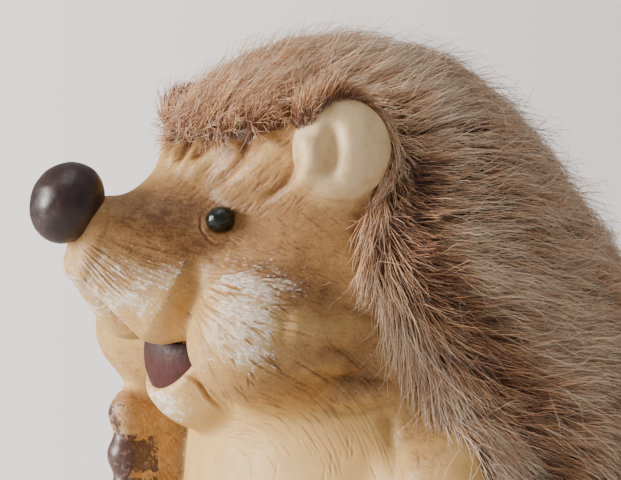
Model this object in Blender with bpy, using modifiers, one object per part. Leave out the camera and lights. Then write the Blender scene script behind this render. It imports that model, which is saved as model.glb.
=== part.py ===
"""A shelf hedgehog: a painted cast figure that sits upright, with a pile pelt glued over its back.

The figure faces -Y, its left side is +X, and it stands on z = 0 with the origin under the middle of its box.
Shapes are in millimetres about the body's own axis, and are scaled to metres when an object is made.
Soft forms are solids made of balls and limbs that melt into each other. Each is meshed by joining
spheres, remeshing them, and letting the points settle on the solid's surface. The whole figure is then
parted into its named pieces with thin cuts.
"""

import math

import bmesh
import bpy
import numpy as np
from mathutils import Matrix, Vector

MM = 0.001
GAP = 0.5  # cut away between neighbouring pieces
SHIFT_Y = 9.4  # moves the middle of the figure's box over the origin

HEIGHT = 160.0  # to the top of the pile
PILE = 9.0  # the pelt's usual thickness
BACK_MIDDLE = (0, 6, 52)
BACK_OUTER = (48, 46, 88)
CROWN_MIDDLE = (0, -15, 126)
CROWN_OUTER = (36, 37, HEIGHT - 126)

FACE_VOXEL = 1.1  # of the mesh that settles on the figure
REGION_VOXEL = 2.2  # of the meshes that part it
FIGURE_FACES = 5000
PELT_FACES = 2200
REGION_FACES = 300
FACES = {  # of each finished piece that is cut from them
    "head": 1500,
    "jaw": 300,
    "neck": 300,
    "trunk": 1100,
    "ear_left": 250,
    "ear_right": 250,
    "arm_left": 330,
    "arm_right": 330,
    "hand_left": 400,
    "hand_right": 400,
    "leg_left": 340,
    "leg_right": 340,
    "foot_left": 400,
    "foot_right": 400,
    "fur_crown": 900,
    "fur_back": 400,
    "fur_flank_left": 520,
    "fur_flank_right": 520,
}
LOW = -30.0  # the figure's forms run down to here, and are then cut off flat at the floor


# ---------------------------------------------------------------- solids as functions of a point


def length(v):
    return np.sqrt((v * v).sum(axis=-1))


def melt(a, b, k):
    """The union of two solids, with a fillet about k wide."""
    h = np.clip(0.5 + 0.5 * (b - a) / k, 0, 1)
    return b + (a - b) * h - k * h * (1 - h)


def carve(a, b, k):
    """Solid a without solid b, with an edge rounded about k wide."""
    return -melt(-a, b, k)


class Ball:
    """An ellipsoid. turn is (axis, degrees) about its centre."""

    def __init__(self, centre, radii, turn=None):
        self.centre = np.array(centre, float)
        self.radii = np.array(radii, float) * np.ones(3)
        axis, angle = turn or ("X", 0)
        self.matrix = Matrix.Rotation(math.radians(angle), 3, axis)

    def field(self, p):
        local = (p - self.centre) @ np.array(self.matrix)
        k0 = length(local / self.radii)
        k1 = length(local / self.radii**2)
        return k0 * (k0 - 1) / np.maximum(k1, 1e-9)

    def shells(self):
        yield self.centre, self.radii, self.matrix


class Limb:
    """A round bar from start to end whose radius runs from r0 to r1. wide stretches it along X."""

    def __init__(self, start, end, r0, r1, wide=1.0):
        self.start, self.end = np.array(start, float), np.array(end, float)
        self.r0, self.r1, self.wide = r0, r1, wide

    def field(self, p):
        squeeze = np.array([1 / self.wide, 1, 1])
        start, end = self.start * squeeze, self.end * squeeze
        axis = end - start
        p = p * squeeze
        t = np.clip(((p - start) @ axis) / (axis @ axis), 0, 1)
        return length(p - start - t[:, None] * axis) - (self.r0 + (self.r1 - self.r0) * t)

    def shells(self):
        steps = 8
        for i in range(steps + 1):
            t = i / steps
            r = self.r0 + (self.r1 - self.r0) * t
            middle = self.start + (self.end - self.start) * t
            yield middle, np.array([r * self.wide, r, r]), Matrix.Identity(3)


class Melted:
    """Several solids melted together, each with the fillet that it brings."""

    def __init__(self, *members):
        self.members = members

    def field(self, p):
        total = None
        for solid, k in self.members:
            f = solid.field(p)
            total = f if total is None else melt(total, f, k)
        return total

    def shells(self):
        for solid, _ in self.members:
            yield from solid.shells()


def mirrored(point):
    return (-point[0], point[1], point[2])


def both_sides(make, centre, *rest):
    """make(centre, ...) and its mirror image."""
    return make(centre, *rest), make(mirrored(centre), *rest)


# ---------------------------------------------------------------- the figure's forms

TORSO = Ball((0, 3, 52), (BACK_OUTER[0] - PILE, 39, 77))
CHEST = Ball((0, -11, 84), (31, 31, 26))
NECK = Ball((0, -14, 104), (28, 26, 20))
SKULL = Ball((0, -19, 135), (27, 26, 18))
FACE = Ball((0, -20, 115), (29, 27, 20))
SNOUT = Limb((0, -36, 121.6), (0, -60, 128.4), 12.5, 4.6, 1.33)
LIP_PADS = [Limb((s * 2.2, -60.7, 122.2), (s * 6, -51, 116.5), 3.4, 6.9) for s in (1, -1)]
CHEEKS = both_sides(Ball, (19, -39.5, 110.8), (11, 12, 10.4))

NOSE = Ball((0, -64.4, 131.8), (6.1, 5.7, 6.6), ("X", -28))
EYE_AT = (13.2, -44.2, 129.4)
EYE_RADIUS = 2.15

EAR_AT = (27.5, -30.3, 140.1)
EAR_TURN = 28.0  # the ear's face looks outwards and this far forwards
EAR_SIZE = (4.3, 7.5, 7.9)
EAR_HOLLOW = (3.4, 4.2, 4.9)

JAW = Ball((0, -39.5, 105.6), (11.5, 11.6, 10.8))
LIP_FRONT = (-50, 101.0)  # y and z of the lower lip's front
LIP_ANGLE = 60.0  # of the open lower lip, from level
LIP_SLOPE = math.tan(math.radians(LIP_ANGLE))
MOUTH_ROOF = 109.4
MOUTH = Ball((0, -42.3, 107.6), (9.6, 8, 9.4))
MOUTH_DEPTH = 2.8  # from the lip back to the mouth's floor
FLOOR_SLACK = 1.2  # between the mouth's wall and its floor piece

FINGERS = 4
FINGER_PITCH = 6.3
RAISED_PITCH = 6.8  # the raised hand is spread a little wider
FINGER_RADIUS = 3.3


class Jaw:
    """The lower jaw, cut off along the slope of its lip."""

    def field(self, p):
        y0, z0 = LIP_FRONT
        lip = (p[:, 2] - z0 - LIP_SLOPE * (p[:, 1] - y0)) / math.hypot(1, LIP_SLOPE)
        return np.maximum(JAW.field(p), lip)

    def shells(self):
        yield from JAW.shells()


class MouthHollow:
    """The open mouth: a bowl in the lower jaw under a flat roof."""

    def field(self, p):
        return np.maximum(MOUTH.field(p), p[:, 2] - MOUTH_ROOF)


def ear(side):
    x, y, z = EAR_AT
    return Ball((side * x, y, z), EAR_SIZE, ("Z", side * -EAR_TURN))


def ear_hollow(side):
    """The hollow is on the ear's outer face, a little forward of its middle and below it."""
    x, y, z = EAR_AT
    turn = math.radians(EAR_TURN)
    out, forward = 4.0, 1.4
    x += out * math.cos(turn) - forward * math.sin(turn)
    y -= out * math.sin(turn) + forward * math.cos(turn)
    return Ball((side * x, y, z - 0.8), EAR_HOLLOW, ("Z", side * -EAR_TURN))


def arm(side, elbow, wrist):
    shoulder = (side * 31, -14, 87)
    return Melted((Limb(shoulder, elbow, 10, 8), 1), (Limb(elbow, wrist, 8, 6), 4))


def hand(palm, radii, first_root, first_tip, down):
    """A palm with fingers side by side. down is the step from one finger to the next."""
    members = [(Ball(palm, radii), 1)]
    for i in range(FINGERS):
        drop = np.array(down) * i
        bend = 1.0 * (i - 1) ** 2 / FINGERS  # the outer fingers are a little shorter
        root, tip = np.array(first_root) + drop, np.array(first_tip) + drop
        tip = tip + (root - tip) / np.linalg.norm(root - tip) * bend
        members.append((Limb(root, tip, FINGER_RADIUS + 0.3, FINGER_RADIUS), 1.2))
    return Melted(*members)


ARM_LEFT = arm(1, (41, -20, 63), (24, -41, 58))
HAND_LEFT = hand(
    (17, -43, 60), (7.5, 6.5, 11.5), (13, -43.5, 69.5), (5.5, -45.5, 68.5), (0.4, 0, -FINGER_PITCH)
)
ARM_RIGHT = arm(-1, (-40, -21, 68), (-25, -38, 82))
HAND_RIGHT = hand(
    (-20, -38, 86), (6.5, 7, 12.5), (-18.8, -38, 96.7), (-17.4, -47.4, 96.5), (0, 0, -RAISED_PITCH)
)


def leg(side):
    return Ball((side * 29, -13, 21), (14.5, 20, 21))


def foot(side):
    """A flat foot that points forwards, with its toes side by side."""
    x = side * 20
    members = [(Limb((x + side * 3, -22, 7), (x, -44, 6), 9, 7.6, 1.15), 4)]
    for i in range(FINGERS):
        across = (i - (FINGERS - 1) / 2) * 4.9
        reach = -54.5 + 0.25 * across**2 / 4
        members.append((Limb((x + across * 0.9, -47, 4.6), (x + across, reach, 4.2), 3.4, 3.1), 1.2))
    return Melted(*members)


class Figure:
    """The whole cast figure, without its nose ball and eyes."""

    def __init__(self):
        self.body = Melted(
            (TORSO, 1),
            (CHEST, 8),
            (NECK, 10),
            (FACE, 8),
            (SKULL, 6),
            (leg(1), 5),
            (leg(-1), 5),
            (foot(1), 3),
            (foot(-1), 3),
            (ARM_LEFT, 4),
            (ARM_RIGHT, 4),
            (HAND_LEFT, 2),
            (HAND_RIGHT, 2),
            (SNOUT, 6),
            (CHEEKS[0], 6),
            (CHEEKS[1], 6),
            (Melted((LIP_PADS[0], 1), (LIP_PADS[1], 1.2)), 2.5),
            (ear(1), 2.5),
            (ear(-1), 2.5),
            (Jaw(), 1.5),
        )

    def field(self, p):
        f = self.body.field(p)
        f = carve(f, MouthHollow().field(p), 0.7)
        for side in (1, -1):
            f = carve(f, ear_hollow(side).field(p), 1.6)
        return f

    def shells(self):
        yield from self.body.shells()


class Grown:
    """A solid grown by a margin on all sides."""

    def __init__(self, solid, margin):
        self.solid, self.margin = solid, margin

    def field(self, p):
        return self.solid.field(p) - self.margin

    def shells(self):
        for centre, radii, matrix in self.solid.shells():
            yield centre, radii + self.margin, matrix


# ---------------------------------------------------------------- the pelt

# The pelt's edge seen from the side, as (y, z), from the floor up behind the ear and over the brow.
PELT_EDGE = [
    (-3, 1.5),
    (-3, 40),
    (-8, 62),
    (-12, 82),
    (-15.5, 100),
    (-21, 110),
    (-25, 119),
    (-25.5, 130),
    (-24, 139),
    (-25.2, 145.0),
    (-29.5, 147.4),
    (-33.5, 145.8),
    (-37, 142.4),
    (-43, 140.8),
    (-58, 141.2),
]
EDGE_PILE = 2.2  # the pelt's thickness at its edge
EDGE_RISE = 0.9  # how fast it thickens behind the edge


def edge_curve():
    """The edge as a smooth line of points that runs evenly through PELT_EDGE."""
    knots = np.array(PELT_EDGE, float)
    ends = np.vstack([2 * knots[0] - knots[1], knots, 2 * knots[-1] - knots[-2]])
    line = []
    for a, b, c, d in zip(ends, ends[1:], ends[2:], ends[3:]):
        for t in np.linspace(0, 1, 4, endpoint=False):
            squared = 2 * a - 5 * b + 4 * c - d
            cubed = 3 * b - a - 3 * c + d
            line.append(0.5 * (2 * b + (c - a) * t + squared * t**2 + cubed * t**3))
    return np.array(line + [knots[-1]])


def behind_edge(p):
    """How far a point is behind the pelt's edge, seen from the side, within 30 mm."""
    line = edge_curve()
    best = np.full(len(p), 30.0)
    for a, b in zip(line, line[1:]):
        span = b - a
        t = np.clip(((p[:, 1:] - a) @ span) / (span @ span), 0, 1)
        best = np.minimum(best, length(p[:, 1:] - a - t[:, None] * span))
    return best


class Pelt:
    """The outer form of the pile: full over the back, and tapering towards the pelt's edge."""

    def __init__(self, figure):
        self.figure = figure
        self.full = Melted((Ball(BACK_MIDDLE, BACK_OUTER), 1), (Ball(CROWN_MIDDLE, CROWN_OUTER), 14))

    def field(self, p):
        thin = self.figure.field(p) - EDGE_PILE - EDGE_RISE * behind_edge(p)
        return -melt(-self.full.field(p), -thin, 2.0)

    def shells(self):
        yield from self.full.shells()


# ---------------------------------------------------------------- meshes


def object_of(name, mesh):
    made = bpy.data.objects.new(name, mesh)
    bpy.context.scene.collection.objects.link(made)
    return made


def drop(obj):
    bpy.data.objects.remove(obj)


def applied(obj):
    """The object's mesh with its modifiers applied. The object goes."""
    graph = bpy.context.evaluated_depsgraph_get()
    mesh = bpy.data.meshes.new_from_object(obj.evaluated_get(graph))
    drop(obj)
    return mesh


def with_modifier(mesh, kind, **settings):
    obj = object_of("working", mesh)
    modifier = obj.modifiers.new(kind, kind)
    for key, value in settings.items():
        setattr(modifier, key, value)
    return applied(obj)


def points_of(mesh):
    flat = np.empty(len(mesh.vertices) * 3, np.float32)
    mesh.vertices.foreach_get("co", flat)
    return flat.reshape(-1, 3).astype(float)


def slope(field, p, here, step=0.02):
    """The field's gradient at the points, where its value is known."""
    found = np.empty_like(p)
    for axis in range(3):
        ahead = p.copy()
        ahead[:, axis] += step
        found[:, axis] = (field(ahead) - here) / step
    return found


def settled(p, field, rounds):
    """Points moved onto the field's surface, a short step at a time."""
    for _ in range(rounds):
        here = field(p)
        g = slope(field, p, here)
        steepness = np.maximum((g * g).sum(axis=1), 0.05)
        move = -g * (here / steepness)[:, None]
        far = np.maximum(length(move) / 1.5, 1)
        p = p + move / far[:, None]
    return p


def relaxed(p, mesh, share=0.5):
    """Points moved towards the middle of their neighbours."""
    ends = np.empty(len(mesh.edges) * 2, np.int64)
    mesh.edges.foreach_get("vertices", ends)
    a, b = ends.reshape(-1, 2).T
    count = np.bincount(a, minlength=len(p)) + np.bincount(b, minlength=len(p))
    middle = np.stack(
        [
            (np.bincount(a, p[b, i], len(p)) + np.bincount(b, p[a, i], len(p))) / np.maximum(count, 1)
            for i in range(3)
        ],
        axis=1,
    )
    return p + share * (middle - p)


def unit_sphere(segments, rings):
    lump = bmesh.new()
    bmesh.ops.create_uvsphere(lump, u_segments=segments, v_segments=rings, radius=1)
    mesh = bpy.data.meshes.new("sphere")
    lump.to_mesh(mesh)
    lump.free()
    return mesh


def balls(solid, segments=20, rings=12):
    """The solid's balls as plain spheres in one mesh."""
    unit = unit_sphere(segments, rings)
    lump = bmesh.new()
    for centre, radii, matrix in solid.shells():
        copy = unit.copy()
        copy.transform(Matrix.Translation(Vector(centre)) @ matrix.to_4x4() @ Matrix.Diagonal((*radii, 1)))
        lump.from_mesh(copy)
        bpy.data.meshes.remove(copy)
    mesh = bpy.data.meshes.new("balls")
    lump.to_mesh(mesh)
    lump.free()
    return mesh


def meshed(solid, voxel, faces, hollows=()):
    """A closed mesh of the solid with about that many triangles, in millimetres."""
    mesh = with_modifier(balls(solid), "REMESH", mode="VOXEL", voxel_size=voxel)
    for hollow in hollows:
        mesh = boolean(mesh, hollow, "DIFFERENCE", False)
    if hollows:
        mesh = with_modifier(mesh, "REMESH", mode="VOXEL", voxel_size=voxel)
    p = points_of(mesh)
    for _ in range(3):
        p = settled(relaxed(p, mesh), solid.field, 3)
    mesh.vertices.foreach_set("co", p.astype(np.float32).ravel())
    mesh.update()
    triangles = sum(len(face.vertices) - 2 for face in mesh.polygons)
    if triangles > faces:
        mesh = with_modifier(mesh, "DECIMATE", ratio=faces / triangles)
    return mesh


def swollen(mesh, margin):
    """A copy of the mesh whose points stand off by the margin."""
    grown = mesh.copy()
    normals = np.empty(len(mesh.vertices) * 3, np.float32)
    mesh.vertices.foreach_get("normal", normals)
    p = points_of(mesh) + margin * normals.reshape(-1, 3)
    grown.vertices.foreach_set("co", p.astype(np.float32).ravel())
    grown.update()
    return grown


def largest(mesh):
    """The mesh without its loose crumbs and its needle-thin faces."""
    lump = bmesh.new()
    lump.from_mesh(mesh)
    bmesh.ops.dissolve_degenerate(lump, dist=2e-3, edges=lump.edges)
    bmesh.ops.triangulate(lump, faces=lump.faces)
    left, islands = set(lump.verts), []
    while left:
        island = {left.pop()}
        edge = set(island)
        while edge:
            edge = {other.other_vert(v) for v in edge for other in v.link_edges} - island
            island |= edge
        left -= island
        islands.append(island)
    keep = max(islands, key=len, default=set())
    bmesh.ops.delete(lump, geom=[v for v in lump.verts if v not in keep], context="VERTS")
    lump.to_mesh(mesh)
    lump.free()
    return mesh


def boolean(mesh, cutter, operation, folded=True):
    """mesh without the cutter (DIFFERENCE) or met with it (INTERSECT). folded allows for crossing creases."""
    tool = object_of("cutter", cutter)
    obj = object_of("working", mesh)
    modifier = obj.modifiers.new("cut", "BOOLEAN")
    modifier.object, modifier.operation, modifier.solver = tool, operation, "EXACT"
    modifier.use_self = folded
    made = applied(obj)
    drop(tool)
    return largest(made)


def parted(rest, region, gap_region):
    """(the piece of rest inside region, what is left of rest outside gap_region)."""
    return boolean(rest.copy(), region, "INTERSECT"), boolean(rest, gap_region, "DIFFERENCE")


def slab(low, high, tilt=0.0, pivot=(0, 0, 0)):
    """A box between two corners, tilted in degrees about the X axis through pivot."""
    low, high = Vector(low), Vector(high)
    lump = bmesh.new()
    turn = Matrix.Translation(Vector(pivot)) @ Matrix.Rotation(math.radians(tilt), 4, "X")
    turn = turn @ Matrix.Translation(-Vector(pivot))
    place = turn @ Matrix.Translation((low + high) / 2) @ Matrix.Diagonal((*(high - low), 1))
    bmesh.ops.create_cube(lump, size=1, matrix=place)
    mesh = bpy.data.meshes.new("slab")
    lump.to_mesh(mesh)
    lump.free()
    return mesh


def pelt_region():
    """Everything behind the pelt's edge, as the edge's outline drawn out along X."""
    far_y, top_z, wide = 80, 200, 70
    line = [tuple(q) for q in edge_curve()]
    outline = line + [(line[-1][0], top_z), (far_y, top_z), (far_y, line[0][1])]
    curve = bpy.data.curves.new("pelt_region", "CURVE")
    curve.dimensions, curve.fill_mode, curve.extrude = "2D", "BOTH", wide
    spline = curve.splines.new("POLY")
    spline.points.add(len(outline) - 1)
    for point, (y, z) in zip(spline.points, outline):
        point.co = (y, z, 0, 1)
    spline.use_cyclic_u = True
    obj = object_of("pelt_region", curve)
    mesh = applied(obj)
    # The curve's own x, y and z are the figure's y, z and x.
    mesh.transform(Matrix(((0, 0, 1, 0), (1, 0, 0, 0), (0, 1, 0, 0), (0, 0, 0, 1))))
    lump = bmesh.new()
    lump.from_mesh(mesh)
    bmesh.ops.remove_doubles(lump, verts=lump.verts, dist=1e-4)
    bmesh.ops.recalc_face_normals(lump, faces=lump.faces)
    lump.to_mesh(mesh)
    lump.free()
    return mesh


# ---------------------------------------------------------------- materials

RESIN = ("painted_resin", (0.62, 0.47, 0.30), 0.5)
DARK = ("dark_gloss", (0.06, 0.03, 0.03), 0.25)
EYE_BLACK = ("eye_black", (0.01, 0.012, 0.01), 0.08)
MOUTH_RED = ("mouth_red", (0.16, 0.06, 0.05), 0.5)
PILE_TAN = ("pile_tan", (0.38, 0.26, 0.19), 0.95)


def material(name, colour, roughness):
    made = bpy.data.materials.get(name)
    if made is None:
        made = bpy.data.materials.new(name)
        made.use_nodes = True
        shader = made.node_tree.nodes["Principled BSDF"]
        shader.inputs["Base Color"].default_value = (*colour, 1)
        shader.inputs["Roughness"].default_value = roughness
        shader.inputs["Metallic"].default_value = 0
    return made


def piece(name, mesh, finish, collection):
    """A finished object, in metres, from a mesh in millimetres."""
    if name in FACES and FACES[name] < len(mesh.polygons):
        mesh = largest(with_modifier(mesh, "DECIMATE", ratio=FACES[name] / len(mesh.polygons)))
    mesh.transform(Matrix.Scale(MM, 4) @ Matrix.Translation((0, SHIFT_Y, 0)))
    mesh.name = name
    mesh.materials.clear()
    mesh.materials.append(material(*finish))
    mesh.shade_smooth()
    mesh.set_sharp_from_angle(angle=math.radians(50))
    made = bpy.data.objects.new(name, mesh)
    collection.objects.link(made)
    return made


# ---------------------------------------------------------------- the pieces


def named_regions():
    """(node name, the solid that takes it from the figure) in the order of cutting."""
    yield "ear_left", ear(1)
    yield "ear_right", ear(-1)
    yield "hand_left", HAND_LEFT
    yield "hand_right", HAND_RIGHT
    yield "arm_left", ARM_LEFT
    yield "arm_right", ARM_RIGHT
    yield "foot_left", foot(1)
    yield "foot_right", foot(-1)
    yield "leg_left", leg(1)
    yield "leg_right", leg(-1)
    yield "jaw", Ball((0, -43.5, 100), (12, 10.5, 8.6))


def eye(side):
    x, y, z = EYE_AT
    return Ball((side * x, y, z), EYE_RADIUS)


def build():
    for obj in list(bpy.data.objects):
        bpy.data.objects.remove(obj)
    collection = bpy.data.collections.new("hedgehog_figure")
    bpy.context.scene.collection.children.link(collection)

    figure = Figure()
    above_roof = slab((-60, -80, MOUTH_ROOF), (60, 0, 150))
    hollows = [boolean(balls(MOUTH), above_roof, "DIFFERENCE")]
    hollows += [balls(ear_hollow(side)) for side in (1, -1)]
    whole = meshed(figure, FACE_VOXEL, FIGURE_FACES, hollows)
    floor = slab((-90, -90, LOW - 60), (90, 90, 0))
    whole = boolean(whole, floor, "DIFFERENCE")

    # The pelt comes first, while the figure's outline is whole.
    pelt = meshed(Pelt(figure), 2.0, PELT_FACES)
    pelt = boolean(pelt, pelt_region(), "INTERSECT")
    pelt = boolean(pelt, swollen(whole, GAP), "DIFFERENCE")

    fur_cuts = (
        ("fur_crown", slab((-70, -80, 112), (70, 80, 200), -12, (0, 0, 112))),
        ("fur_flank_left", slab((24, -80, -20), (90, 80, 200))),
        ("fur_flank_right", slab((-90, -80, -20), (-24, 80, 200))),
    )
    gaps = (
        slab((-70, -80, 112 - GAP), (70, 80, 200), -12, (0, 0, 112)),
        slab((24 - GAP, -80, -20), (90, 80, 200)),
        slab((-90, -80, -20), (-24 + GAP, 80, 200)),
    )
    for (name, region), gap_region in zip(fur_cuts, gaps):
        part, pelt = parted(pelt, region, gap_region)
        piece(name, part, PILE_TAN, collection)
    piece("fur_back", pelt, PILE_TAN, collection)

    nose = balls(NOSE, 16, 10)
    whole = boolean(whole, balls(Grown(NOSE, GAP), 16, 10), "DIFFERENCE")
    piece("nose", nose, DARK, collection)
    for side, word in ((1, "left"), (-1, "right")):
        whole = boolean(whole, balls(Grown(eye(side), GAP), 12, 8), "DIFFERENCE")
        piece(f"eye_{word}", balls(eye(side), 12, 8), EYE_BLACK, collection)

    # The mouth's floor lies parallel to the opening, a little way in.
    y, z = LIP_FRONT
    outside = slab((-30, -40, z), (30, 40, z + 60), LIP_ANGLE, (0, y + MOUTH_DEPTH, z))
    tongue = boolean(balls(Grown(MOUTH, -FLOOR_SLACK), 16, 10), outside, "DIFFERENCE")
    tongue = boolean(tongue, slab((-30, -80, MOUTH_ROOF - FLOOR_SLACK), (30, 0, 140)), "DIFFERENCE")
    whole = boolean(whole, swollen(tongue, GAP), "DIFFERENCE")
    piece("tongue", tongue, MOUTH_RED, collection)

    for name, solid in named_regions():
        region = meshed(Grown(solid, 1.0), REGION_VOXEL, REGION_FACES)
        part, whole = parted(whole, region, swollen(region, GAP))
        piece(name, part, RESIN, collection)

    neck_tilt, pivot = 14, (0, -45, 92)
    head, whole = parted(
        whole,
        slab((-70, -150, 92), (70, 120, 220), neck_tilt, pivot),
        slab((-70, -150, 92 - GAP), (70, 120, 220), neck_tilt, pivot),
    )
    piece("head", head, RESIN, collection)
    neck, whole = parted(
        whole,
        slab((-70, -150, 84), (70, 120, 220), neck_tilt, pivot),
        slab((-70, -150, 84 - GAP), (70, 120, 220), neck_tilt, pivot),
    )
    piece("neck", neck, RESIN, collection)
    piece("trunk", whole, RESIN, collection)


build()
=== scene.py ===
"""The shelf hedgehog's looks: an engraved, painted skin, a ball nose, bead eyes and a long pile pelt."""

import math

import bmesh
import bpy
import numpy as np
from mathutils import Matrix, Vector
from mathutils.kdtree import KDTree


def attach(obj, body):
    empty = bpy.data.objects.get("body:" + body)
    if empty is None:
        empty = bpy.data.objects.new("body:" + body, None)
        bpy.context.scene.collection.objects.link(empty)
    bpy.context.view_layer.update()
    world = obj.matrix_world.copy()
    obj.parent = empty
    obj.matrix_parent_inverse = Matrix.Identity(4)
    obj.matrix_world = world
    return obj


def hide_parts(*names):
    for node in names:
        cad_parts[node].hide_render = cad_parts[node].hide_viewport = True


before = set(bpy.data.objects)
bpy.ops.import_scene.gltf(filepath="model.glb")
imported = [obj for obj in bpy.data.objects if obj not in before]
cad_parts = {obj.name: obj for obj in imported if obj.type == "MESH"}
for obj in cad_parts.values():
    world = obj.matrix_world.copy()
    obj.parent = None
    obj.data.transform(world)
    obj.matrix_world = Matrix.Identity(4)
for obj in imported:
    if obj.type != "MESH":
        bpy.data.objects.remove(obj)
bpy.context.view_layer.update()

MM = 0.001
SHIFT_Y = 9.4  # from the body's own axis to the middle of the box

# ---- solids as functions of a point, in millimetres


def length(v):
    return np.sqrt((v * v).sum(axis=-1))


def melt(a, b, k):
    """The union of two solids, with a fillet about k wide."""
    h = np.clip(0.5 + 0.5 * (b - a) / k, 0, 1)
    return b + (a - b) * h - k * h * (1 - h)


def carve(a, b, k):
    """Solid a without solid b, with an edge rounded about k wide."""
    return -melt(-a, b, k)


def ramp(x, low, high):
    """0 below low, 1 above high, and smooth in between."""
    t = np.clip((x - low) / (high - low), 0, 1)
    return t * t * (3 - 2 * t)


def peak(x, width):
    """1 at x = 0, falling smoothly to nothing about two widths away."""
    return np.exp(-((x / width) ** 2))


def unit(v):
    return v / np.maximum(length(v), 1e-9)[..., None]


class Ball:
    """An ellipsoid. turn is (axis, degrees) about its centre."""

    def __init__(self, centre, radii, turn=None):
        self.centre = np.array(centre, float)
        self.radii = np.array(radii, float) * np.ones(3)
        axis, angle = turn or ("X", 0)
        self.matrix = Matrix.Rotation(math.radians(angle), 3, axis)

    def field(self, p):
        local = (p - self.centre) @ np.array(self.matrix)
        k0 = length(local / self.radii)
        k1 = length(local / self.radii**2)
        return k0 * (k0 - 1) / np.maximum(k1, 1e-9)

    def shells(self):
        yield self.centre, self.radii, self.matrix

    def bounds(self):
        return self.centre, self.radii.max()


class Jaw(Ball):
    """The lower jaw, cut off along the slope of its lip."""

    def field(self, p):
        y, z = LIP_FRONT
        lip = (p[:, 2] - z - LIP_SLOPE * (p[:, 1] - y)) / math.hypot(1, LIP_SLOPE)
        return carve(super().field(p), -lip, 0.8)


class Limb:
    """A round bar from start to end whose radius runs from r0 to r1. wide stretches it along X."""

    def __init__(self, start, end, r0, r1, wide=1.0):
        self.start, self.end = np.array(start, float), np.array(end, float)
        self.r0, self.r1, self.wide = r0, r1, wide

    def field(self, p):
        squeeze = np.array([1 / self.wide, 1, 1])
        start, end = self.start * squeeze, self.end * squeeze
        axis = end - start
        p = p * squeeze
        t = np.clip(((p - start) @ axis) / (axis @ axis), 0, 1)
        return length(p - start - t[:, None] * axis) - (self.r0 + (self.r1 - self.r0) * t)

    def shells(self):
        for t in np.linspace(0, 1, 9):
            r = self.r0 + (self.r1 - self.r0) * t
            middle = self.start + (self.end - self.start) * t
            yield middle, np.array([r * self.wide, r, r]), Matrix.Identity(3)

    def bounds(self):
        reach = length(self.end - self.start) / 2 + max(self.r0, self.r1) * self.wide
        return (self.start + self.end) / 2, reach


class Melted:
    """Several solids melted together, each with the fillet that it brings."""

    def __init__(self, *members):
        self.members = members

    def field(self, p):
        total = self.members[0][0].field(p)
        for solid, k in self.members[1:]:
            middle, reach = solid.bounds()
            near = np.flatnonzero(length(p - middle) - reach < 1.5 * (np.maximum(total, 0) + k) + 2)
            total[near] = melt(total[near], solid.field(p[near]), k)
        return total

    def shells(self):
        for solid, _ in self.members:
            yield from solid.shells()

    def bounds(self):
        """A sphere round all the members."""
        spheres = [solid.bounds() for solid, _ in self.members]
        middle = np.mean([centre for centre, _ in spheres], axis=0)
        return middle, max(length(centre - middle) + reach for centre, reach in spheres)


class Grown:
    """A solid grown by a margin on all sides."""

    def __init__(self, solid, margin):
        self.solid, self.margin = solid, margin

    def field(self, p):
        return self.solid.field(p) - self.margin

    def shells(self):
        for centre, radii, matrix in self.solid.shells():
            yield centre, radii + self.margin, matrix


# ---- the figure's forms, as in the CAD

HEIGHT = 160.0
PILE = 9.0
BACK_MIDDLE = (0, 6, 52)
BACK_OUTER = (48, 46, 88)
CROWN_MIDDLE = (0, -15, 126)
CROWN_OUTER = (36, 37, HEIGHT - 126)

TORSO = Ball((0, 3, 52), (BACK_OUTER[0] - PILE, 39, 77))
CHEST = Ball((0, -11, 84), (31, 31, 26))
NECK = Ball((0, -14, 104), (28, 26, 20))
SKULL = Ball((0, -19, 135), (27, 26, 18))
FACE = Ball((0, -20, 115), (29, 27, 20))
SNOUT = Limb((0, -36, 121.6), (0, -60, 128.4), 12.5, 4.6, 1.33)
LIP_PADS = [Limb((s * 2.2, -60.7, 122.2), (s * 6, -51, 116.5), 3.4, 6.9) for s in (1, -1)]
STOP = Limb((0, -45.8, 131.4), (0, -43.2, 135.4), 5.8, 5.4)
CHEEKS = [Ball((s * 19, -39.5, 110.8), (11, 12, 10.4)) for s in (1, -1)]

NOSE = Ball((0, -64.4, 131.8), (6.1, 5.7, 6.6), ("X", -28))
EYE_AT = np.array((13.2, -44.2, 129.4))
EYE_RADIUS = 2.15

EAR_AT = (27.5, -30.3, 140.1)
EAR_TURN = 28.0
EAR_SIZE = (4.3, 7.5, 7.9)
EAR_HOLLOW = (2.6, 1.4, 4.8)

JAW = Jaw((0, -39.5, 105.6), (11.5, 11.6, 10.8))
LIP_FRONT = (-50, 101.0)
LIP_ANGLE = 60.0
LIP_SLOPE = math.tan(math.radians(LIP_ANGLE))
MOUTH_ROOF = 109.4
MOUTH = Ball((0, -42.3, 107.6), (9.6, 8, 9.4))
MOUTH_DEPTH = 2.8

FINGERS = 4
FINGER_PITCH = 6.3
RAISED_PITCH = 6.8
FINGER_RADIUS = 3.3


def ear(side):
    x, y, z = EAR_AT
    return Ball((side * x, y, z), EAR_SIZE, ("Z", side * -EAR_TURN))


def ear_point(side, out, forward, up):
    """A point out from the ear's face, forwards along it, and up."""
    x, y, z = EAR_AT
    turn = math.radians(EAR_TURN)
    x += out * math.cos(turn) - forward * math.sin(turn)
    y -= out * math.sin(turn) + forward * math.cos(turn)
    return side * x, y, z + up


def ear_hollow(side):
    return Ball(ear_point(side, 4.7, 1.4, 0.1), EAR_HOLLOW, ("Z", side * -EAR_TURN))


def arm(side, elbow, wrist):
    shoulder = (side * 31, -14, 87)
    return Melted((Limb(shoulder, elbow, 10, 8), 1), (Limb(elbow, wrist, 8, 6), 4))


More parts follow.
